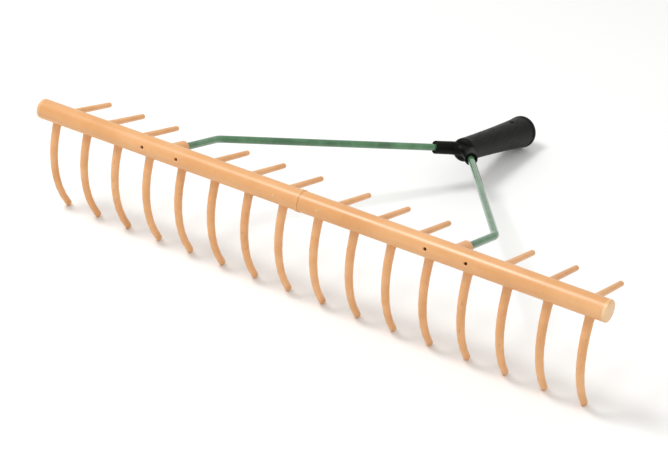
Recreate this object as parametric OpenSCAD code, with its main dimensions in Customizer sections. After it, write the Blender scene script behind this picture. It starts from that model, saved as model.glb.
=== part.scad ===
// Hay and lawn rake head: a moulded plastic tube in two halves, each with a row of long
// curved tines below and a row of short straight pegs behind, two coated steel stays and
// a tapered socket for the handle.
// It stands the way it is set down: on its tine tips and on the rim of the socket.
// X runs along the head, +Y goes from the head to the handle, Z is up, in millimetres.
// The construction itself is drawn level, with the head tube's axis on X and the pegs
// and stays in the plane Z = 0, and rested() then tips it onto the ground.

/* [Head tube] */
// Outside diameter of the head tube
tube_d = 23.4; // [20:0.1:28]
// Wall of the head tube
tube_wall = 3.2; // [2.4:0.1:4]
// Length of tube beyond the outermost tine
tube_end = 16; // [12:0.5:40]

/* [Tines] */
// Tines on each half of the head
tines_per_half = 8; // [7:1:9]
// Distance from one tine to the next
tine_pitch = 45; // [43:0.5:60]
// Diameter of a tine where it leaves the tube
tine_root_d = 10; // [8:0.1:12]
// Diameter of a tine just before its round tip
tine_tip_d = 7.8; // [6:0.1:9]
// Radius of the curve that a tine follows
tine_bend_r = 113; // [100:1:140]
// How far a tine's foremost point lies behind the tube's axis
tine_front_y = 3; // [0:0.5:5]
// How far a tine's foremost point lies below the tube's axis
tine_front_drop = 30; // [25:1:40]
// Angle between a tine's tip and the plumb line of the head
tine_tip_angle = 51; // [40:1:60]
// How far the fillet at a tine's root spreads sideways
tine_fillet = 1.4; // [0.5:0.1:2]
// How far the fillet at a tine's root reaches down
tine_fillet_reach = 9; // [5:0.5:14]

/* [Pegs] */
// Distance from one peg to the next, and from a stay to its nearest peg
peg_pitch = 50; // [40:0.5:54]
// Pegs on each side of a stay
pegs_per_side = 3; // [1:1:3]
// Reach of a peg from the tube's axis
peg_reach = 90; // [60:1:95]
// Diameter of a peg at the tube
peg_root_d = 7.6; // [6:0.1:9]
// Diameter of a peg at its round tip
peg_tip_d = 6.2; // [5:0.1:7]

/* [Stay bosses] */
// Distance between the two stays at the head
stay_spacing = 362; // [346:1:376]
// Outside diameter of a boss
boss_d = 15; // [13:0.1:18]
// Reach of a boss from the tube's axis
boss_reach = 36; // [25:0.5:50]

/* [Small holes in the front of the tube] */
// Diameter of the holes that held the mould's core
core_hole_d = 3.6; // [2:0.1:5]
// Distance from a stay to each of these holes
core_hole_offset = 23.5; // [15:0.5:30]

/* [Middle joint] */
// Width of the joint's ring between the two halves
ring_w = 5; // [3:0.5:8]
// How far the ring stands proud of the tube
ring_proud = 0.6; // [0:0.1:1.5]
// Length of the joint's spigot inside each half
spigot_len = 40; // [35:1:60]
// Diameter of the lightening hole through the joint
spigot_bore_d = 9; // [4:0.5:11]
// Diameter of the two locking pins
pin_d = 3; // [2:0.1:4]
// Distance from the middle to each locking pin
pin_offset = 27.3; // [15:0.1:30]

/* [End caps] */
// Thickness of a cap's flange
cap_flange_w = 4; // [2:0.5:6]
// Length of a cap's plug inside the tube
cap_plug_len = 14; // [8:1:20]
// Wall of a cap's plug
cap_wall = 2.5; // [1.5:0.1:3.5]
// Bevel around a cap's face
cap_bevel = 1; // [0.4:0.1:1.5]

/* [Stays] */
// Diameter of a stay with its coating
stay_d = 8.6; // [7:0.1:10]
// Distance from the tube's axis to the corner where a stay bends
stay_corner = 100; // [90:1:130]
// Angle between a stay and the handle
stay_angle = 33.4; // [30:0.1:38]
// Radius of the bend at its centre line
stay_bend_r = 20; // [14:1:30]
// Length of a stay inside its sleeve, past the wide mouth
stay_grip = 20; // [12:1:22]
// Bevel on the ends of a stay
stay_bevel = 0.8; // [0.3:0.1:1.2]

/* [Handle socket] */
// Length of the socket from where the stays' axes meet to its mouth
socket_len = 149; // [135:1:170]
// Outside diameter at the mouth, without the lip
mouth_d = 40.4; // [38:0.1:46]
// Outside diameter at the neck
neck_d = 29.2; // [26:0.1:32]
// Reach of the neck in front of where the stays' axes meet
neck_reach = 15.5; // [13:0.5:17]
// Rounding of the neck's front edge
neck_round = 5; // [3:0.5:8]
// Share of the taper that is straight, the rest being flare
taper_share = 0.4; // [0:0.05:1]
// How far the lip stands proud of the mouth
lip_proud = 0.5; // [0.2:0.1:1.5]
// Width of the lip
lip_w = 5; // [3:0.5:8]
// Diameter of the handle that fits
handle_d = 30; // [26:0.1:31]
// Depth of the straight part of the handle's hole
handle_straight = 48; // [42:1:55]
// Depth of the whole handle's hole
handle_depth = 120; // [90:1:122]
// Diameter of the handle's hole at its bottom
handle_bottom_d = 22; // [18:0.5:23]
// Depth of the widened mouth
mouth_lead = 6; // [3:0.5:10]
// Width of the slope around the widened mouth
mouth_lead_w = 2; // [1:0.1:2.5]
// Diameter of the screw hole for the handle
screw_d = 5.2; // [4:0.1:7]
// Diameter of the screw hole's sloped rim
screw_rim_d = 7.4; // [7.2:0.1:9]
// Distance from the mouth to the screw hole
screw_back = 37; // [25:0.5:40]

/* [Stay sleeves] */
// Length of a sleeve from where the stays' axes meet
sleeve_len = 47; // [44:0.5:55]
// Outside diameter of a sleeve at its open end
sleeve_end_d = 16; // [15:0.1:18]
// Outside diameter of a sleeve at the socket
sleeve_root_d = 16.4; // [15:0.1:19]
// Diameter of a sleeve's wide mouth
sleeve_mouth_d = 12.4; // [11:0.1:13]
// Depth of a sleeve's wide mouth
sleeve_mouth_depth = 7; // [2:0.5:9]
// Rounding of a sleeve's rim
sleeve_round = 1.5; // [0.5:0.1:1.6]
// Radius of the crotch between the two sleeves
crotch_r = 8.5; // [6:0.5:11]

/* [Fits] */
// Gap on the radius between the spigots or plugs and the tube's bore
plug_gap = 0.1; // [0.05:0.01:0.2]
// Gap on the radius between a stay and its holes
stay_gap = 0.1; // [0.05:0.01:0.2]
// Gap on the radius between a locking pin and its holes
pin_gap = 0.05; // [0.02:0.01:0.1]
// Gap on the radius between the handle and its hole
handle_gap = 0.15; // [0.1:0.01:0.3]
// Gap between a stay's end and what it stops against
end_gap = 0.3; // [0.1:0.1:0.5]

/* [Hidden] */
$fn = 96;

plastic_tan = [0.93, 0.73, 0.52];
coat_green = [0.18, 0.37, 0.22];
plastic_black = [0.12, 0.12, 0.11];

// How far a cutting shape runs past the surface that it cuts
past = 1;

// Head tube
tube_r = tube_d / 2;
bore_r = tube_r - tube_wall;
half_start = ring_w / 2;
half_end = (tines_per_half - 0.5) * tine_pitch + tube_end;
half_len = half_end - half_start;
stay_x = stay_spacing / 2;
stay_r = stay_d / 2;
stay_hole_r = stay_r + stay_gap;
stay_hole_rim = 2;
stay_hole_rim_w = 0.9;
core_hole_r = core_hole_d / 2;
core_hole_rim = 0.8;
pin_hole_r = pin_d / 2 + pin_gap;
plug_r = bore_r - plug_gap;
boss_bevel = 1.2;

// Pegs stand on both sides of a stay, as far as there is tube to carry them
peg_room = peg_root_d / 2;
peg_places = [
    for (side = [-1, 1], i = [1 : pegs_per_side])
        let (x = stay_x + side * i * peg_pitch)
        if (x > half_start + peg_room && x < half_end - peg_room) x
];

// Tine sweep: angles are measured from the tine's foremost point
tine_sides = 12;
tine_centre_y = tine_front_y + tine_bend_r;
tine_root_r = tine_root_d / 2;
tine_tip_r = tine_tip_d / 2;
tine_start_r = 2.5;
degrees_per_mm = 180 / (PI * tine_bend_r);
tine_start_a = -asin((tine_front_drop - tube_r * 0.4) / tine_bend_r);
tine_root_a = -asin((tine_front_drop - tube_r * 0.8) / tine_bend_r);
tine_dome_a = tine_tip_angle - tine_tip_r * degrees_per_mm;
fillet_steps = 4;
body_steps = 7;
dome_latitudes = [25, 50, 72];

// Stays
stay_run = sleeve_len - sleeve_mouth_depth - stay_grip;
stay_bend_back = stay_bend_r * tan(stay_angle / 2);
stay_overlap = 0.5;
stay_swell = 0.02;
stay_stop_y = sqrt(pow(bore_r, 2) - pow(stay_r, 2)) - end_gap;
yoke_y = stay_corner + stay_x / tan(stay_angle);
stay_far = stay_x / sin(stay_angle) - stay_run;

// Socket
mouth_y = yoke_y + socket_len;
mouth_r = mouth_d / 2;
neck_r = neck_d / 2;
lip_r = mouth_r + lip_proud;
lip_round = 0.8;
handle_hole_r = handle_d / 2 + handle_gap;
flare_steps = 9;

// Attitude when set down: tine tips and socket lip both touch the ground
tip_y = tine_centre_y - tine_bend_r * cos(tine_dome_a);
tip_z = -tine_front_drop - tine_bend_r * sin(tine_dome_a);
lip_y = mouth_y - lip_round;
lip_z = -(lip_r - lip_round);
span_y = lip_y - tip_y;
span_z = tip_z - lip_z;
rest_tilt = asin((tine_tip_r - lip_round) / norm([span_y, span_z])) - atan2(span_z, span_y);
ground_z = lip_z * cos(rest_tilt) - lip_y * sin(rest_tilt) - lip_round;
front_y = -(tube_r + ring_proud);
back_y = lip_y * cos(rest_tilt) - lip_z * sin(rest_tilt) + lip_round;

// Tips the level construction onto the ground, centred over the origin
module rested() {
    translate([0, -(front_y + back_y) / 2, -ground_z])
        rotate([-rest_tilt, 0, 0]) children();
}

module along_x(x) {
    translate([x, 0, 0]) rotate([0, 90, 0]) children();
}

module along_y(x = 0, y = 0) {
    translate([x, y, 0]) rotate([-90, 0, 0]) children();
}

// Points of one ring of a tine: a circle of radius r across the curve at angle a,
// moved on by step along the tine
function tine_ring(a, r, step = 0) = [
    for (k = [0 : tine_sides - 1])
        let (turn = 360 * k / tine_sides)
        [
            r * sin(turn),
            tine_centre_y - (tine_bend_r - r * cos(turn)) * cos(a) + step * sin(a),
            -tine_front_drop - (tine_bend_r - r * cos(turn)) * sin(a) - step * cos(a)
        ]
];

// Radius of a tine at angle a: an even taper, with a fillet that dies out below the tube
function tine_r(a) =
    let (
        along = (a - tine_root_a) / (tine_dome_a - tine_root_a),
        down = (a - tine_root_a) / degrees_per_mm,
        left = max(0, 1 - down / tine_fillet_reach)
    )
    tine_root_r + (tine_tip_r - tine_root_r) * along + tine_fillet * pow(left, 2);

fillet_end_a = tine_root_a + tine_fillet_reach * degrees_per_mm;
tine_angles = [
    for (i = [0 : fillet_steps - 1])
        tine_root_a + (fillet_end_a - tine_root_a) * i / fillet_steps,
    for (i = [0 : body_steps])
        fillet_end_a + (tine_dome_a - fillet_end_a) * i / body_steps
];
tine_rings = concat(
    [tine_ring(tine_start_a, tine_start_r)],
    [for (a = tine_angles) tine_ring(a, tine_r(a))],
    [for (lat = dome_latitudes)
        tine_ring(tine_dome_a, tine_tip_r * cos(lat), tine_tip_r * sin(lat))]
);
tine_points = concat(
    [for (ring = tine_rings) each ring],
    [tine_ring(tine_dome_a, 0, tine_tip_r)[0]]
);
ring_count = len(tine_rings);
tine_faces = concat(
    [[for (k = [0 : tine_sides - 1]) k]],
    [for (i = [0 : ring_count - 2], k = [0 : tine_sides - 1])
        let (next = (k + 1) % tine_sides, here = i * tine_sides, below = here + tine_sides)
        each [
            [here + k, below + k, below + next],
            [here + k, below + next, here + next]
        ]],
    [for (k = [0 : tine_sides - 1])
        let (last = (ring_count - 1) * tine_sides)
        [last + k, ring_count * tine_sides, last + (k + 1) % tine_sides]]
);

module tine() {
    polyhedron(points = tine_points, faces = tine_faces, convexity = 4);
}

module peg() {
    tip_r = peg_tip_d / 2;
    along_y() {
        cylinder(h = peg_reach - tip_r, r1 = peg_root_d / 2, r2 = tip_r);
        translate([0, 0, peg_reach - tip_r]) sphere(r = tip_r);
    }
}

module boss() {
    along_y() {
        cylinder(h = boss_reach - boss_bevel, r = boss_d / 2);
        translate([0, 0, boss_reach - boss_bevel])
            cylinder(h = boss_bevel, r1 = boss_d / 2, r2 = boss_d / 2 - boss_bevel);
    }
}

// Hole for a stay, through the boss and the back wall into the hollow tube
module stay_hole() {
    along_y(stay_x) {
        cylinder(h = boss_reach + past, r = stay_hole_r);
        translate([0, 0, boss_reach - stay_hole_rim])
            cylinder(h = stay_hole_rim, r1 = stay_hole_r, r2 = stay_hole_r + stay_hole_rim_w);
    }
}

// Small round hole in the front wall with a sloped rim
module core_hole(x) {
    translate([x, 0, 0]) rotate([90, 0, 0]) {
        cylinder(h = tube_r + past, r = core_hole_r);
        translate([0, 0, tube_r - core_hole_rim])
            cylinder(h = core_hole_rim + past, r1 = core_hole_r,
                r2 = core_hole_r + core_hole_rim + past);
    }
}

// One half of the head, drawn on the +X side
module head_half() {
    difference() {
        union() {
            along_x(half_start) cylinder(h = half_len, r = tube_r);
            for (i = [0 : tines_per_half - 1])
                translate([(i + 0.5) * tine_pitch, 0, 0]) tine();
            for (x = peg_places) translate([x, 0, 0]) peg();
            translate([stay_x, 0, 0]) boss();
        }
        along_x(half_start - past) cylinder(h = half_len + 2 * past, r = bore_r);
        stay_hole();
        for (side = [-1, 1]) core_hole(stay_x + side * core_hole_offset);
        translate([pin_offset, 0, 0]) rotate([90, 0, 0])
            cylinder(h = tube_r + past, r = pin_hole_r);
    }
}

module head_left() {
    color(plastic_tan) rested() mirror([1, 0, 0]) head_half();
}

module head_right() {
    color(plastic_tan) rested() head_half();
}

// Spigot that joins the two halves, with the ring that shows between them
module centre_coupling() {
    length = ring_w + 2 * spigot_len;
    color(plastic_tan) rested() difference() {
        union() {
            along_x(-length / 2) cylinder(h = length, r = plug_r);
            along_x(-half_start) cylinder(h = ring_w, r = tube_r + ring_proud);
        }
        along_x(-length / 2 - past) cylinder(h = length + 2 * past, d = spigot_bore_d);
        for (side = [-1, 1])
            translate([side * pin_offset, 0, 0]) rotate([90, 0, 0])
                cylinder(h = tube_r, r = pin_hole_r);
    }
}

// Pins that lock the halves onto the spigot, with low domed heads flush with the tube
module coupling_pins() {
    inner = spigot_bore_d / 2 + end_gap;
    color(plastic_tan) rested()
        for (side = [-1, 1])
            translate([side * pin_offset, 0, 0]) rotate([90, 0, 0])
                intersection() {
                    translate([0, 0, inner]) cylinder(h = tube_r, d = pin_d);
                    sphere(r = tube_r + end_gap);
                }
}

// Cap with a bevelled flange and a hollow plug, drawn at the +X end
module end_cap() {
    along_x(half_end) {
        difference() {
            union() {
                cylinder(h = cap_flange_w - cap_bevel, r = tube_r);
                translate([0, 0, cap_flange_w - cap_bevel])
                    cylinder(h = cap_bevel, r1 = tube_r, r2 = tube_r - cap_bevel);
                translate([0, 0, -cap_plug_len]) cylinder(h = cap_plug_len, r = plug_r);
            }
            translate([0, 0, -cap_plug_len - past])
                cylinder(h = cap_plug_len + past, r = plug_r - cap_wall);
        }
    }
}

module end_cap_left() {
    color(plastic_tan) rested() mirror([1, 0, 0]) end_cap();
}

module end_cap_right() {
    color(plastic_tan) rested() end_cap();
}

// Straight length of rod with a bevelled end, starting just inside the bend
module stay_length(length) {
    translate([0, 0, -stay_overlap])
        cylinder(h = length - stay_bevel + stay_overlap, r = stay_r);
    translate([0, 0, length - stay_bevel])
        cylinder(h = stay_bevel, r1 = stay_r, r2 = stay_r - stay_bevel);
}

// Bent rod on the +X side: straight out of the boss, round the corner, on into the sleeve
module stay() {
    translate([stay_x, stay_corner - stay_bend_back, 0]) {
        rotate([90, 0, 0]) stay_length(stay_corner - stay_bend_back + stay_stop_y);
        translate([-stay_bend_r, 0, 0]) {
            rotate_extrude(angle = stay_angle)
                translate([stay_bend_r, 0]) circle(r = stay_r + stay_swell);
            rotate([0, 0, stay_angle]) translate([stay_bend_r, 0, 0]) rotate([-90, 0, 0])
                stay_length(stay_far - stay_bend_back);
        }
    }
}

module stay_left() {
    color(coat_green) rested() mirror([1, 0, 0]) stay();
}

module stay_right() {
    color(coat_green) rested() stay();
}

// Places its children at the meeting point of the stays' axes, with Z out along a sleeve
module on_sleeve(side) {
    translate([0, yoke_y, 0]) rotate([0, 0, side * stay_angle]) rotate([90, 0, 0]) children();
}

module sleeve() {
    end_r = sleeve_end_d / 2;
    cylinder(h = sleeve_len - sleeve_round, r1 = sleeve_root_d / 2, r2 = end_r);
    translate([0, 0, sleeve_len - sleeve_round]) {
        cylinder(h = sleeve_round, r = end_r - sleeve_round);
        rotate_extrude() translate([end_r - sleeve_round, 0]) intersection() {
            circle(r = sleeve_round);
            square(sleeve_round);
        }
    }
}

// Stepped hole of a sleeve: a wide mouth, then the grip on the stay
module sleeve_hole() {
    bottom = stay_run - end_gap;
    translate([0, 0, bottom]) cylinder(h = sleeve_len - bottom + past, r = stay_hole_r);
    translate([0, 0, sleeve_len - sleeve_mouth_depth])
        cylinder(h = sleeve_mouth_depth + past, d = sleeve_mouth_d);
}

// Rounded crotch: a bent tube that runs from one sleeve over into the other
module sleeve_crotch() {
    tube = sleeve_root_d / 2;
    turn = crotch_r + tube;
    translate([0, yoke_y - turn / sin(stay_angle), 0]) rotate([0, 0, stay_angle])
        rotate_extrude(angle = 180 - 2 * stay_angle) translate([turn, 0]) circle(r = tube);
}

// Outer radius of the socket at distance d from the neck
function socket_r(d) =
    let (t = d / socket_len)
    neck_r + (mouth_r - neck_r) * (taper_share * t + (1 - taper_share) * t * t);

// Flared body of the socket, its rounded neck and its lip
module socket_body() {
    lip_start = socket_len - lip_w;
    flare = [for (i = [0 : flare_steps]) let (d = lip_start * i / flare_steps) [socket_r(d), d]];
    along_y(0, yoke_y) {
        rotate_extrude() polygon(concat([[0, 0]], flare, [[0, lip_start]]));
        translate([0, 0, lip_start]) {
            cylinder(h = lip_w - lip_round, r1 = socket_r(lip_start) + lip_proud, r2 = lip_r);
            translate([0, 0, lip_w - lip_round]) {
                cylinder(h = lip_round, r = lip_r - lip_round);
                rotate_extrude() translate([lip_r - lip_round, 0]) intersection() {
                    circle(r = lip_round);
                    square(lip_round);
                }
            }
        }
        translate([0, 0, neck_round - neck_reach]) {
            cylinder(h = neck_reach - neck_round, r = neck_r);
            mirror([0, 0, 1]) cylinder(h = neck_round, r = neck_r - neck_round);
            mirror([0, 0, 1]) rotate_extrude() translate([neck_r - neck_round, 0]) intersection() {
                circle(r = neck_round);
                square(neck_round);
            }
        }
    }
}

// Hole for the handle: a sloped rim, a straight part and a taper to the bottom
module handle_hole() {
    along_y(0, mouth_y) mirror([0, 0, 1]) {
        translate([0, 0, -past]) cylinder(h = handle_straight + past, r = handle_hole_r);
        translate([0, 0, -past]) cylinder(h = mouth_lead + past, r1 = handle_hole_r
            + mouth_lead_w * (1 + past / mouth_lead), r2 = handle_hole_r);
        translate([0, 0, handle_straight]) cylinder(h = handle_depth - handle_straight,
            r1 = handle_hole_r, r2 = handle_bottom_d / 2);
    }
}

// Hole for the screw that holds the handle, with a sloped rim
module screw_hole() {
    outer = socket_r(socket_len - screw_back);
    rim = (screw_rim_d - screw_d) / 2;
    translate([0, mouth_y - screw_back, 0]) {
        cylinder(h = outer + past, d = screw_d);
        translate([0, 0, outer - rim])
            cylinder(h = rim + past, d1 = screw_d, d2 = screw_rim_d + 2 * past);
    }
}

module socket() {
    color(plastic_black) rested() difference() {
        union() {
            socket_body();
            for (side = [-1, 1]) on_sleeve(side) sleeve();
            sleeve_crotch();
        }
        handle_hole();
        screw_hole();
        for (side = [-1, 1]) on_sleeve(side) sleeve_hole();
    }
}

head_left();
head_right();
centre_coupling();
coupling_pins();
end_cap_left();
end_cap_right();
stay_left();
stay_right();
socket();
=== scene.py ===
import math

import bpy
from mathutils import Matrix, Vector

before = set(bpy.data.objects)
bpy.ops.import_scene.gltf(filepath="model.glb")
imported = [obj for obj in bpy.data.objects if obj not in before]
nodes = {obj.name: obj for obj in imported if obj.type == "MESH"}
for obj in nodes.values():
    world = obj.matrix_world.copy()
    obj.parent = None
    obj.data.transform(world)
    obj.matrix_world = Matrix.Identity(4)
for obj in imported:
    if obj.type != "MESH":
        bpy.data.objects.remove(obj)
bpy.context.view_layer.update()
bpy.ops.object.select_all(action="DESELECT")
scene = bpy.context.scene

# Camera fitted to the photograph: place in metres, turn in degrees
CAMERA_PLACE = (0.8915, -1.62004, 0.9715)
CAMERA_TURN = (61.6488, -3.1927, 33.5368)
CAMERA_LENS_MM = 94.66
SENSOR_MM = 36.0
NEAREST_SEEN_M = 0.05
FARTHEST_SEEN_M = 50.0

# Studio
FLOOR_SIZE_M = 14.0
FLOOR_COLOUR = "f7f7f5"
FLOOR_ROUGHNESS = 0.9
WORLD_COLOUR = "ffffff"
WORLD_STRENGTH = 0.74

# Height at which the tines run into the tube, from full scuffs to faint ones
SCUFFS_FULL_BELOW_M = 0.1
SCUFFS_FAINT_ABOVE_M = 0.112
FAINT_SCUFFS = 0.25

# How fast the detail of a noise pattern fades from coarse to fine
NOISE_FADE = 0.55

# Mix node on colours: its inputs and result go by number, because their names repeat
MIX_FACTOR, MIX_A, MIX_B, MIX_RESULT = 0, 6, 7, 2


def make_camera():
    camera = bpy.data.objects.new("camera", bpy.data.cameras.new("camera"))
    scene.collection.objects.link(camera)
    camera.location = CAMERA_PLACE
    camera.rotation_euler = [math.radians(angle) for angle in CAMERA_TURN]
    camera.data.lens = CAMERA_LENS_MM
    camera.data.sensor_width = SENSOR_MM
    camera.data.sensor_fit = "HORIZONTAL"
    camera.data.clip_start = NEAREST_SEEN_M
    camera.data.clip_end = FARTHEST_SEEN_M
    scene.camera = camera


def linear(hex_colour):
    """sRGB hex to the linear RGBA that Blender's nodes take."""
    channels = []
    for start in (0, 2, 4):
        value = int(hex_colour[start:start + 2], 16) / 255
        channels.append(value / 12.92 if value <= 0.04045 else ((value + 0.055) / 1.055) ** 2.4)
    return (*channels, 1.0)


def per_metre(size_mm):
    """Noise scale for a pattern of this size, because Object coordinates are in metres."""
    return round(1000 / size_mm)


def new_material(name):
    material = bpy.data.materials.new(name)
    material.use_nodes = True
    tree = material.node_tree
    return material, tree, tree.nodes["Principled BSDF"]


def fill_in(tree, node, inputs):
    """Sets a node's inputs. Each is a value, or another node's socket to link."""
    for key, value in inputs.items():
        if isinstance(value, bpy.types.NodeSocket):
            tree.links.new(value, node.inputs[key])
        else:
            node.inputs[key].default_value = value


def add(tree, kind, inputs, output, stops=(), **settings):
    """Adds a node with its settings and links, and returns one of its outputs. The stops of
    a colour ramp are (position, hex colour)."""
    node = tree.nodes.new(kind)
    for key, value in settings.items():
        setattr(node, key, value)
    fill_in(tree, node, inputs)
    if stops:
        elements = node.color_ramp.elements
        while len(elements) < len(stops):
            elements.new(0.5)
        for element, (position, colour) in zip(elements, stops):
            element.position = position
            element.color = linear(colour)
    return node.outputs[output]


def moulded_polypropylene(name, light, middle, shade):
    """Moulded tan polypropylene: satin, with softly mottled colour, faint streaks where the
    melt ran along the tube, brown scuffs that are strongest on the tines, and a grain that
    is finer than a pixel from the photograph's distance and only dulls the gloss."""
    material, tree, shader = new_material(name)
    place = add(tree, "ShaderNodeTexCoord", {}, "Object")
    mottling = add(tree, "ShaderNodeTexNoise", {
        "Vector": place, "Scale": per_metre(71.4), "Detail": 5, "Roughness": NOISE_FADE}, "Fac")
    along_tube = add(tree, "ShaderNodeMapping", {"Vector": place, "Scale": (0.12, 1, 1)}, "Vector")
    flow = add(tree, "ShaderNodeTexNoise", {
        "Vector": along_tube, "Scale": per_metre(16.7), "Detail": 3,
        "Roughness": NOISE_FADE}, "Fac")
    down_tine = add(tree, "ShaderNodeMapping", {"Vector": place, "Scale": (1, 0.6, 0.35)}, "Vector")
    scuffs = add(tree, "ShaderNodeTexNoise", {
        "Vector": down_tine, "Scale": per_metre(6.25), "Detail": 6, "Roughness": 0.7}, "Fac")
    grain = add(tree, "ShaderNodeTexNoise", {
        "Vector": place, "Scale": per_metre(0.3846), "Detail": 2, "Roughness": NOISE_FADE}, "Fac")

    mottled = add(tree, "ShaderNodeValToRGB", {"Fac": mottling}, "Color",
                  stops=[(0.3, shade), (0.52, middle), (0.72, light)])
    streaked = add(tree, "ShaderNodeValToRGB", {"Fac": flow}, "Color",
                   stops=[(0.35, shade), (0.6, light)])
    clean = add(tree, "ShaderNodeMix", {MIX_FACTOR: 0.35, MIX_A: mottled, MIX_B: streaked},
                MIX_RESULT, data_type="RGBA")

    height = add(tree, "ShaderNodeSeparateXYZ", {"Vector": place}, "Z")
    wear = add(tree, "ShaderNodeMapRange", {
        "Value": height, "From Min": SCUFFS_FULL_BELOW_M, "From Max": SCUFFS_FAINT_ABOVE_M,
        "To Min": 1.0, "To Max": FAINT_SCUFFS}, "Result")
    marks = add(tree, "ShaderNodeValToRGB", {"Fac": scuffs}, "Color",
                stops=[(0.0, "000000"), (0.6, "000000"), (0.68, "b4b4b4")])
    worn = add(tree, "ShaderNodeMix", {MIX_FACTOR: 1.0, MIX_A: marks, MIX_B: wear},
               MIX_RESULT, data_type="RGBA", blend_type="MULTIPLY")
    colour = add(tree, "ShaderNodeMix", {MIX_FACTOR: worn, MIX_A: clean, MIX_B: linear("8a5530")},
                 MIX_RESULT, data_type="RGBA")

    satin = add(tree, "ShaderNodeMapRange", {
        "Value": mottling, "From Min": 0.3, "From Max": 0.7, "To Min": 0.27, "To Max": 0.4},
        "Result")
    relief = add(tree, "ShaderNodeMix", {"Factor": 0.5, "A": flow, "B": grain}, "Result")
    bump = add(tree, "ShaderNodeBump", {
        "Height": relief, "Strength": 0.12, "Distance": 0.0004}, "Normal")
    fill_in(tree, shader, {
        "Base Color": colour, "Roughness": satin, "Normal": bump,
        "Subsurface Weight": 0.12, "Subsurface Radius": (0.004, 0.0022, 0.0012),
        "Subsurface Scale": 1.0, "Specular IOR Level": 0.6})
    return material


def powder_coated_steel(name):
    """Powder-coated steel rod: a glossy green coat with duller patches and a faint orange
    peel."""
    material, tree, shader = new_material(name)
    place = add(tree, "ShaderNodeTexCoord", {}, "Object")
    patches = add(tree, "ShaderNodeTexNoise", {
        "Vector": place, "Scale": per_metre(25), "Detail": 4, "Roughness": NOISE_FADE}, "Fac")
    peel = add(tree, "ShaderNodeTexNoise", {
        "Vector": place, "Scale": per_metre(1.111), "Detail": 2, "Roughness": NOISE_FADE}, "Fac")
    colour = add(tree, "ShaderNodeValToRGB", {"Fac": patches}, "Color",
                 stops=[(0.35, "35623f"), (0.55, "47784f"), (0.75, "5c8a62")])
    gloss = add(tree, "ShaderNodeMapRange", {
        "Value": patches, "From Min": 0.3, "From Max": 0.7, "To Min": 0.16, "To Max": 0.26},
        "Result")
    bump = add(tree, "ShaderNodeBump", {
        "Height": peel, "Strength": 0.1, "Distance": 0.0003}, "Normal")
    fill_in(tree, shader, {
        "Base Color": colour, "Roughness": gloss, "Normal": bump,
        "Coat Weight": 0.8, "Coat Roughness": 0.12})
    return material


def black_polypropylene(name):
    """Moulded black polypropylene: a cloudy sheen with fine scratches along the socket."""
    material, tree, shader = new_material(name)
    place = add(tree, "ShaderNodeTexCoord", {}, "Object")
    cloud = add(tree, "ShaderNodeTexNoise", {
        "Vector": place, "Scale": per_metre(16.7), "Detail": 5, "Roughness": NOISE_FADE}, "Fac")
    along_socket = add(tree, "ShaderNodeMapping", {
        "Vector": place, "Scale": (1, 0.05, 1)}, "Vector")
    scratches = add(tree, "ShaderNodeTexNoise", {
        "Vector": along_socket, "Scale": per_metre(2.38), "Detail": 4, "Roughness": 0.65}, "Fac")
    colour = add(tree, "ShaderNodeValToRGB", {"Fac": cloud}, "Color",
                 stops=[(0.3, "070806"), (0.6, "0d0e0b"), (0.8, "151611")])
    sheen = add(tree, "ShaderNodeMapRange", {
        "Value": scratches, "From Min": 0.3, "From Max": 0.7, "To Min": 0.34, "To Max": 0.52},
        "Result")
    bump = add(tree, "ShaderNodeBump", {
        "Height": scratches, "Strength": 0.08, "Distance": 0.0003}, "Normal")
    fill_in(tree, shader, {
        "Base Color": colour, "Roughness": sheen, "Normal": bump, "Specular IOR Level": 0.1})
    return material


def paint(material, *names):
    for name in names:
        mesh = nodes[name].data
        mesh.materials.clear()
        mesh.materials.append(material)


def area_light(name, place, target, size, power):
    data = bpy.data.lights.new(name, "AREA")
    data.size = size
    data.energy = power
    light = bpy.data.objects.new(name, data)
    scene.collection.objects.link(light)
    light.location = place
    aim = [to - start for to, start in zip(target, place)]
    light.rotation_euler = Vector(aim).to_track_quat("-Z", "Y").to_euler()


def make_floor():
    bpy.ops.mesh.primitive_plane_add(size=FLOOR_SIZE_M, location=(0, 0, 0))
    floor = bpy.context.object
    floor.name = "floor"
    floor.data.name = "floor"
    material, _, shader = new_material("studio_floor")
    shader.inputs["Base Color"].default_value = linear(FLOOR_COLOUR)
    shader.inputs["Roughness"].default_value = FLOOR_ROUGHNESS
    floor.data.materials.append(material)


def make_world():
    world = bpy.data.worlds.new("studio")
    world.use_nodes = True
    background = world.node_tree.nodes["Background"]
    background.inputs["Color"].default_value = linear(WORLD_COLOUR)
    background.inputs["Strength"].default_value = WORLD_STRENGTH
    scene.world = world
    scene.view_settings.view_transform = "Standard"


make_camera()
make_world()
make_floor()
area_light("key", place=(-0.9, -0.9, 2.4), target=(0, 0, 0.05), size=0.8, power=34)
area_light("fill", place=(1.8, -1.2, 1.6), target=(0, 0, 0.05), size=2.0, power=7)

tan_body = moulded_polypropylene("moulded_tan_polypropylene", "e6b17c", "dda46b", "d2955a")
# A lighter copy of the same tan plastic: painted highlight for the light that the end caps' rounded
# rims and the pins' heads catch
tan_painted_highlight = moulded_polypropylene("tan_polypropylene_painted_highlight", "ecc79b", "e3b684", "daa672")
paint(tan_body, "head_left", "head_right", "centre_coupling")
paint(tan_painted_highlight, "end_cap_left", "end_cap_right", "coupling_pins")
paint(powder_coated_steel("green_coated_steel"), "stay_left", "stay_right")
paint(black_polypropylene("black_polypropylene"), "socket")
